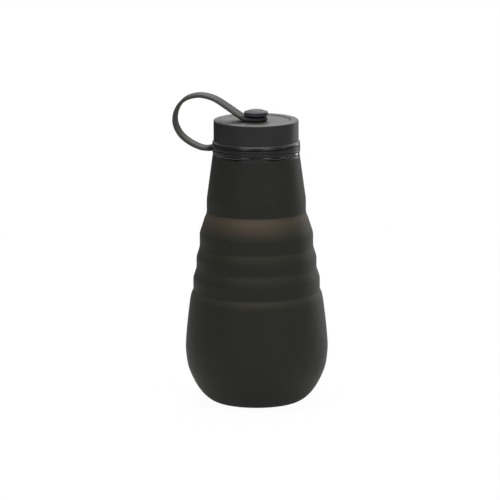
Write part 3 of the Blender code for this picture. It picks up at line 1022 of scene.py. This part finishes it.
def band_tree():
    inputs = {
        "Route": "Geometry",
        "Width": "Float",
        "Thickness": "Float",
        "Edge": "Float",
        "Root thickness": "Float",
        "Root length": "Float",
        "Eyelet width": "Float",
        "Eyelet length": "Float",
        "Finish": "Material",
    }
    graph, given = new_tree("band", inputs)
    curve = graph.wire("GeometryNodeMeshToCurve", None, {"Mesh": given["Route"]})
    keep = graph.node("GeometryNodeCaptureAttribute")
    keep.capture_items.new("VECTOR", "Middle")
    keep.capture_items.new("FLOAT", "Distance")
    keep.capture_items.new("FLOAT", "Length")
    parameter = graph.node("GeometryNodeSplineParameter")
    spline = graph.node("GeometryNodeSplineLength")
    middle_in = graph.wire("GeometryNodeInputPosition")
    for key, socket in (
        ("Geometry", curve.socket),
        ("Middle", middle_in.socket),
        ("Distance", parameter.outputs["Length"]),
        ("Length", spline.outputs["Length"]),
    ):
        graph.tree.links.new(socket, keep.inputs[key])
    kept = {label: Wire(graph, keep.outputs[label]) for label in ("Geometry", "Middle", "Distance", "Length")}
    level = graph.wire(
        "GeometryNodeSetCurveNormal", {"mode": "FREE"}, {"Curve": kept["Geometry"], "Normal": (0, 1, 0)}
    )
    box = graph.wire(
        "GeometryNodeCurvePrimitiveQuadrilateral",
        None,
        {"Width": given["Width"], "Height": given["Thickness"]},
    )
    rounding = {"Curve": box, "Count": EDGE_STEPS, "Radius": given["Edge"]}
    section = graph.wire("GeometryNodeFilletCurve", {"mode": "POLY"}, rounding)
    band = graph.wire(
        "GeometryNodeCurveToMesh", None, {"Curve": level, "Profile Curve": section, "Fill Caps": True}
    )
    px, py, pz = graph.split(graph.wire("GeometryNodeInputPosition"))
    mx, my, mz = graph.split(kept["Middle"])
    root_share = 1 - graph.limit(kept["Distance"], 0.0, given["Root length"])
    thicker = root_share * (given["Root thickness"] / given["Thickness"] - 1)
    ahead = kept["Length"] - kept["Distance"]
    eyelet_share = 1 - graph.limit(ahead, 0.0, given["Eyelet length"])
    wider = eyelet_share * (given["Eyelet width"] / given["Width"] - 1)
    push = graph.vector((px - mx) * thicker, (py - my) * wider, (pz - mz) * thicker)
    shaped = graph.wire("GeometryNodeSetPosition", None, {"Geometry": band, "Offset": push})
    return end_tree(graph, shaped, given["Finish"])


# %% Strap loop
EYELET_FLARE = 15.2 * MM
FLARE_LENGTH = 40.0 * MM
# Painted light: how much paler the faces, the edges, the edges over the cap and the eyelet get.
FACE_PAINTED_LIGHT = 0.28
EDGE_PAINTED_LIGHT = 0.12
OVER_CAP_PAINTED_LIGHT = 0.2
OVER_CAP = (-40 * MM, -18 * MM)
NEAR_EYELET = (-14 * MM, -7 * MM)
EYELET_PAINTED_LIGHT = 0.17
loop_values = {
    "Width": STRAP_WIDTH,
    "Thickness": STRAP_THICKNESS,
    "Edge": STRAP_EDGE,
    "Root thickness": ROOT_THICKNESS,
    "Root length": ROOT_DEPTH + ROOT_LENGTH,
    "Eyelet width": EYELET_FLARE,
    "Eyelet length": FLARE_LENGTH,
    "Finish": painted_light_strap,
}
route = [(point.x, 0, point.y) for point in strap_route()]
strap_loop = run_tree("strap_loop_band", band_tree(), chain_mesh("strap_route", route), loop_values)


def paint_strap_light(corner):
    """Painted light: most at the edges over the cap, nothing at the ring and little at the eyelet."""
    x, _, z = corner.co
    away = 1 if z > eyelet_low else smooth_step(-x, ring_radius, ring_radius + ROOT_LENGTH)
    over = smooth_step(x, *OVER_CAP)
    ending = smooth_step(x, *NEAR_EYELET)
    edge = abs(corner.normal.y)
    glow = away * (FACE_PAINTED_LIGHT + EDGE_PAINTED_LIGHT * edge) + over * OVER_CAP_PAINTED_LIGHT * edge
    return glow * (1 - ending) + EYELET_PAINTED_LIGHT * ending


write_values(strap_loop.data, "glow", paint_strap_light)
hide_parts("strap_loop")
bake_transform(strap_loop)

# %% Eyelet
EYELET_EDGE = 0.85 * MM
EYELET_FACETS = 96
eyelet_corners = [
    (STEM_HOLE, eyelet_low, 0.2 * MM),
    (EYELET_RADIUS, eyelet_low, EYELET_EDGE),
    (EYELET_RADIUS, eyelet_high, EYELET_EDGE),
    (STEM_HOLE, eyelet_high, 0.2 * MM),
]


def square_off(mesh):
    """Gives the round eyelet a square side, so that the band's edges run straight into it."""
    for corner in mesh.vertices:
        x, y, z = corner.co
        if x < 0:
            radius = math.hypot(x, y)
            share = (radius - STEM_HOLE) / (EYELET_RADIUS - STEM_HOLE)
            reach = radius / max(-x, abs(y))
            corner.co = Vector((x, y, 0)) * (1 + share * (reach - 1)) + Vector((0, 0, z))


eyelet = turn("eyelet_turned", rounded(eyelet_corners, closed=True), painted_light_strap, EYELET_FACETS)
square_off(eyelet.data)
# Painted light: the eyelet is painted evenly a little paler.
write_values(eyelet.data, "glow", lambda corner: EYELET_PAINTED_LIGHT)
dress(eyelet, "strap_end", "strap_silicone", "strap_eyelet")

# %% [markdown]
# The stud
#
# A button head, wide enough that the eyelet can't slip over it, on a stem that snaps through
# the cap's roof with a barb. Its top is flat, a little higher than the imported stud's, and its
# flank slopes down to a rounded rim.

# %% Stud
HEAD_RADIUS = 8.0 * MM
CROWN_RADIUS = 4.5 * MM
CROWN_RISE = 0.3 * MM
HEAD_HEIGHT = 3.3 * MM
RIM_HEIGHT = 2.4 * MM
UNDERCUT = 0.8 * MM
UNDERCUT_WIDTH = 1.4 * MM
STEM_RADIUS = 3.7 * MM
BARB = 1.2 * MM
BARB_HEIGHT = 1.9 * MM
STUD_FACETS = 128

underside = eyelet_high + PLAY
head_top = underside + UNDERCUT + HEAD_HEIGHT
barb_top = roof_level - PLAY
stud_corners = (
    (0, head_top + CROWN_RISE, 0),
    (CROWN_RADIUS, head_top + CROWN_RISE, 1.2 * MM),
    (HEAD_RADIUS, underside + UNDERCUT + RIM_HEIGHT, 0.45 * MM),
    (HEAD_RADIUS, underside + UNDERCUT, 0.5 * MM),
    (HEAD_RADIUS - UNDERCUT_WIDTH, underside + 0.4 * UNDERCUT, 0.4 * MM),
    (STEM_RADIUS + BARB, underside, 0.3 * MM),
    (STEM_RADIUS, underside, 0),
    (STEM_RADIUS, barb_top, 0),
    (STEM_RADIUS + BARB, barb_top, 0.3 * MM),
    (STEM_RADIUS - PLAY, barb_top - BARB_HEIGHT, 0.3 * MM),
    (0, barb_top - BARB_HEIGHT, 0),
)
stud = turn("stud_turned", rounded(stud_corners), stud_plastic, STUD_FACETS)
dress(stud, "cap", "stud_plastic", "strap_stud")

# %% [markdown]
# The studio
#
# The bottle stands on a white floor in white surroundings. Both are white to the camera alone,
# through Light Path. The floor shows at part strength in reflections, so that it doesn't light
# up the bottle's foot. The world is dim there, apart from a bright part above and behind the
# bottle, which the cap's top mirrors. The world itself lights the bottle weakly, and the floor
# only gives back what falls on it. The floor lies a hair below the foot, because two faces in
# one plane flicker when seen from below.

# %% Floor and world
FLOOR_SIZE = 0.62
FLOOR_DROP = 0.05 * MM
FLOOR_GREY = (0.75, 0.75, 0.75, 1.0)
FLOOR_TO_CAMERA = 0.96
FLOOR_IN_MIRROR = 0.3
WORLD_LIGHT = 0.28
WORLD_IN_MIRROR = 0.08
BRIGHT_PART = 1.2
ABOVE = (0.0, 0.4)
BEHIND = (-0.3, 0.5)
WHITE = (1.0, 1.0, 1.0, 1.0)


def floor_share(graph):
    """How much of the floor is plain white: most to the camera, none to light that falls on it."""
    path = graph.node("ShaderNodeLightPath")
    camera = Wire(graph, path.outputs["Is Camera Ray"])
    glossy = Wire(graph, path.outputs["Is Glossy Ray"])
    return camera * FLOOR_TO_CAMERA + glossy * FLOOR_IN_MIRROR


def make_floor():
    builder = bmesh.new()
    bmesh.ops.create_circle(builder, cap_ends=True, segments=64, radius=FLOOR_SIZE)
    mesh = bpy.data.meshes.new("floor")
    builder.to_mesh(mesh)
    builder.free()
    floor = bpy.data.objects.new("floor", mesh)
    bpy.context.collection.objects.link(floor)
    floor.location.z = -FLOOR_DROP
    material = bpy.data.materials.new("white_floor")
    material.use_nodes = True
    tree = material.node_tree
    tree.nodes.clear()
    graph = Graph(tree)
    matt = graph.wire("ShaderNodeBsdfDiffuse", None, {"Color": FLOOR_GREY})
    glow = graph.wire("ShaderNodeEmission", None, {"Color": WHITE, "Strength": 1.0})
    mixed = graph.wire("ShaderNodeMixShader", None, {0: floor_share(graph), 1: matt, 2: glow})
    graph.node("ShaderNodeOutputMaterial", None, {"Surface": mixed})
    mesh.materials.append(material)
    floor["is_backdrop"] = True


def make_world():
    world = bpy.data.worlds.new("white_surroundings")
    world.use_nodes = True
    bpy.context.scene.world = world
    tree = world.node_tree
    tree.nodes.clear()
    graph = Graph(tree)
    path = graph.node("ShaderNodeLightPath")
    camera = Wire(graph, path.outputs["Is Camera Ray"])
    glossy = graph.maths(
        "MAXIMUM",
        Wire(graph, path.outputs["Is Glossy Ray"]),
        Wire(graph, path.outputs["Is Transmission Ray"]),
    )
    direction = graph.wire("ShaderNodeTexCoord", None, None, "Generated")
    _, y, z = graph.split(direction)
    above_behind = graph.limit(z, *ABOVE) * graph.limit(y, *BEHIND)
    mirrored = WORLD_IN_MIRROR + above_behind * BRIGHT_PART
    unseen = glossy * mirrored + (1 - glossy) * WORLD_LIGHT
    strength = camera + (1 - camera) * unseen
    background = graph.wire("ShaderNodeBackground", None, {"Color": WHITE, "Strength": strength})
    graph.node("ShaderNodeOutputWorld", None, {"Surface": background})


make_floor()
make_world()

# %% Lights
LAMP_AIM = Vector((0, 0, 0.1))


def softbox(name, azimuth, elevation, distance, width, height, power):
    """A rectangular lamp that faces the bottle. Azimuth 0 is the camera's side, 90 the right."""
    data = bpy.data.lights.new(name, "AREA")
    data.shape = "RECTANGLE"
    data.size = width
    data.size_y = height
    data.energy = power
    lamp = bpy.data.objects.new(name, data)
    bpy.context.collection.objects.link(lamp)
    a = math.radians(azimuth)
    e = math.radians(elevation)
    back = Vector((math.sin(a) * math.cos(e), -math.cos(a) * math.cos(e), math.sin(e)))
    lamp.location = LAMP_AIM + back * distance
    lamp.rotation_euler = (-back).to_track_quat("-Z", "Y").to_euler()
    lamp.visible_camera = False


softbox("overhead_softbox", 8, 70, 1.6, 1.3, 1.1, 22.0)
softbox("zenith_softbox", 188, 66, 1.6, 1.0, 0.9, 10.0)
softbox("rear_softbox", 166, 38, 1.6, 1.5, 1.0, 9.0)
softbox("front_left_softbox", -21, 22, 1.8, 0.6, 0.6, 5.5)
softbox("front_right_softbox", 38, 22, 1.8, 0.6, 0.6, 6.0)
softbox("right_strip", 84, 14, 1.4, 0.15, 0.8, 0.9)
softbox("rear_right_softbox", 144, 5, 1.5, 0.4, 0.7, 3.5)

# %% [markdown]
# The camera
#
# A long lens from about four metres, a little to the right of the front and a little above, so
# that the cap's top shows as a flat oval.

# %% Camera
SHOT_DISTANCE = 4.2
SHOT_WIDTH = 0.3335
SHOT_AZIMUTH = 8.3
SHOT_ELEVATION = 10.67
SHOT_ROLL = -0.2
AIM_HEIGHT = 0.1023
AIM_LEFT = 0.00432


def make_camera():
    data = bpy.data.cameras.new("camera")
    data.sensor_width = 36
    data.lens = data.sensor_width * SHOT_DISTANCE / SHOT_WIDTH
    data.clip_end = 50
    camera = bpy.data.objects.new("camera", data)
    bpy.context.collection.objects.link(camera)
    a = math.radians(SHOT_AZIMUTH)
    e = math.radians(SHOT_ELEVATION)
    back = Vector((math.sin(a) * math.cos(e), -math.cos(a) * math.cos(e), math.sin(e)))
    right = Vector((math.cos(a), math.sin(a), 0))
    aim = Vector((0, 0, AIM_HEIGHT)) - right * AIM_LEFT
    camera.location = aim + back * SHOT_DISTANCE
    straight = (-back).to_track_quat("-Z", "Y").to_matrix()
    roll = Matrix.Rotation(math.radians(SHOT_ROLL), 3, "Z")
    camera.rotation_euler = (straight @ roll).to_euler()
    bpy.context.scene.camera = camera


make_camera()
bpy.context.scene.view_settings.view_transform = "Standard"

# %% [markdown]
# Sizes of the dressed and the imported bottle
#
# The dressed bottle has to fill the same box as the imported one. Both boxes are printed.

# %% Sizes
dressed_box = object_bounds()
for title, box in (("packed", packed_box), ("dressed", dressed_box)):
    print(title, "box in mm:", [[round(c / MM, 1) for c in corner] for corner in box])
